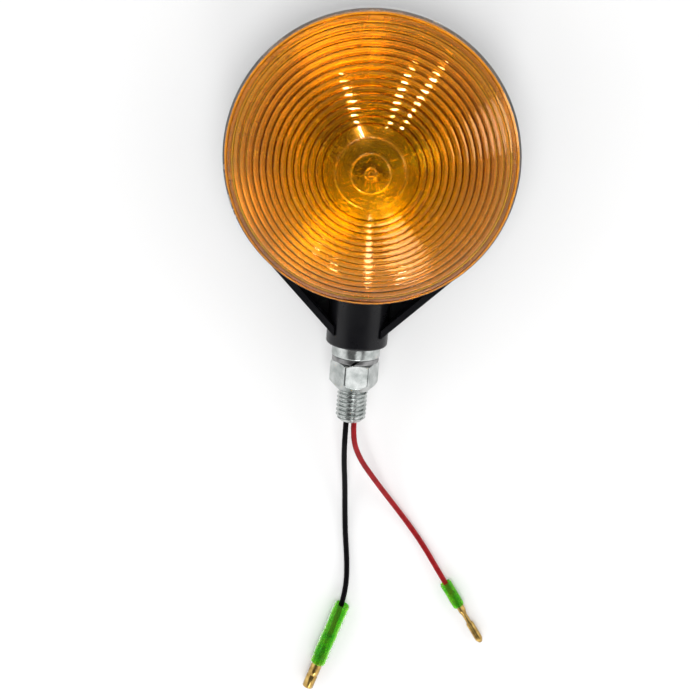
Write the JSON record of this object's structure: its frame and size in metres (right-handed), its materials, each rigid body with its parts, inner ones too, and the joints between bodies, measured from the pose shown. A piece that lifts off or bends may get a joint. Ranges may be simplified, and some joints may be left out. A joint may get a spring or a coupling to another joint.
{
  "type": "turn signal indicator",
  "caption": "Round amber turn signal lamp with a ringed domed lens, black housing, hollow threaded stud with nut, and two short leads with bullet connectors.",
  "frame": {"origin": "centre of the flat back of the housing, on the lens axis", "axes": "+Z out of the lens along its axis, stud pointing along -Y, +X to the right seen from the front"},
  "size_m": [0.118, 0.288, 0.062],
  "materials": {
    "black_housing": "moulded, glossy",
    "silver_reflector": "vacuum metallised plastic",
    "amber_lens": "clear amber acrylic, polished",
    "seal_rubber": "soft, matt",
    "lens_seal": "soft, pale amber, matt",
    "zinc_steel": "bright zinc plate",
    "spring_steel": "zinc plated spring steel",
    "brass": "stamped brass",
    "insulator": "paper laminate",
    "nickel_cap": "nickel plated",
    "black_glass": "black vitrite",
    "solder": "dull solder",
    "bulb_glass": "clear blown glass",
    "tungsten": "drawn wire",
    "black_pvc": "soft PVC insulation",
    "red_pvc": "soft PVC insulation",
    "green_pvc": "translucent soft PVC"
  },
  "bodies": {
    "lamp": {"housing": "black_housing", "reflector": "silver_reflector", "lens": "amber_lens", "housing_gasket": "seal_rubber", "lens_gasket": "lens_seal", "reflector_screws": "zinc_steel", "socket_shell": "zinc_steel", "socket_rivets": "zinc_steel", "ground_tab": "brass", "socket_base": "insulator", "base_contact": "brass", "contact_spring": "spring_steel", "stud": "zinc_steel", "inner_washer": "zinc_steel", "inner_nut": "zinc_steel", "lead_bush": "seal_rubber", "black_lead": "black_pvc", "red_lead": "red_pvc", "inner_black_lead": "black_pvc", "inner_red_lead": "red_pvc", "female_sleeve": "green_pvc", "female_terminal": "brass", "male_sleeve": "green_pvc", "male_terminal": "brass"},
    "lock_washer": {"spring_washer": "spring_steel"},
    "nut": {"mounting_nut": "zinc_steel"},
    "contact": {"contact_carrier": "insulator", "contact_plunger": "brass"},
    "bulb": {"bulb_cap": "nickel_cap", "bulb_insulator": "black_glass", "bulb_contact": "solder", "bulb_glass": "bulb_glass", "bulb_mount": "bulb_glass", "filament_supports": "nickel_cap", "filament": "tungsten"}
  },
  "joints": [
    {"name": "nut_travel", "type": "slide", "parent": "lamp", "child": "lock_washer", "axis": [0, -1, 0], "range_m": [0, 0.01225]},
    {"name": "nut_spin", "type": "hinge", "parent": "lock_washer", "child": "nut", "pos_m": [0, -0.0883, 0.015], "axis": [0, -1, 0], "range_deg": [0, 2522]},
    {"name": "bulb_push", "type": "slide", "parent": "lamp", "child": "contact", "axis": [0, 0, -1], "range_m": [0, 0.0014], "stiffness_N_per_m": 800, "springref_m": -0.003, "deforming": ["contact_spring"]},
    {"name": "bulb_turn", "type": "hinge", "parent": "contact", "child": "bulb", "pos_m": [0, 0, 0.02], "axis": [0, 0, 1], "range_deg": [-20, 0]}
  ],
  "couplings": [
    {"joint": "nut_spin", "follows": "nut_travel", "rad_per_m": 3590.4}
  ]
}
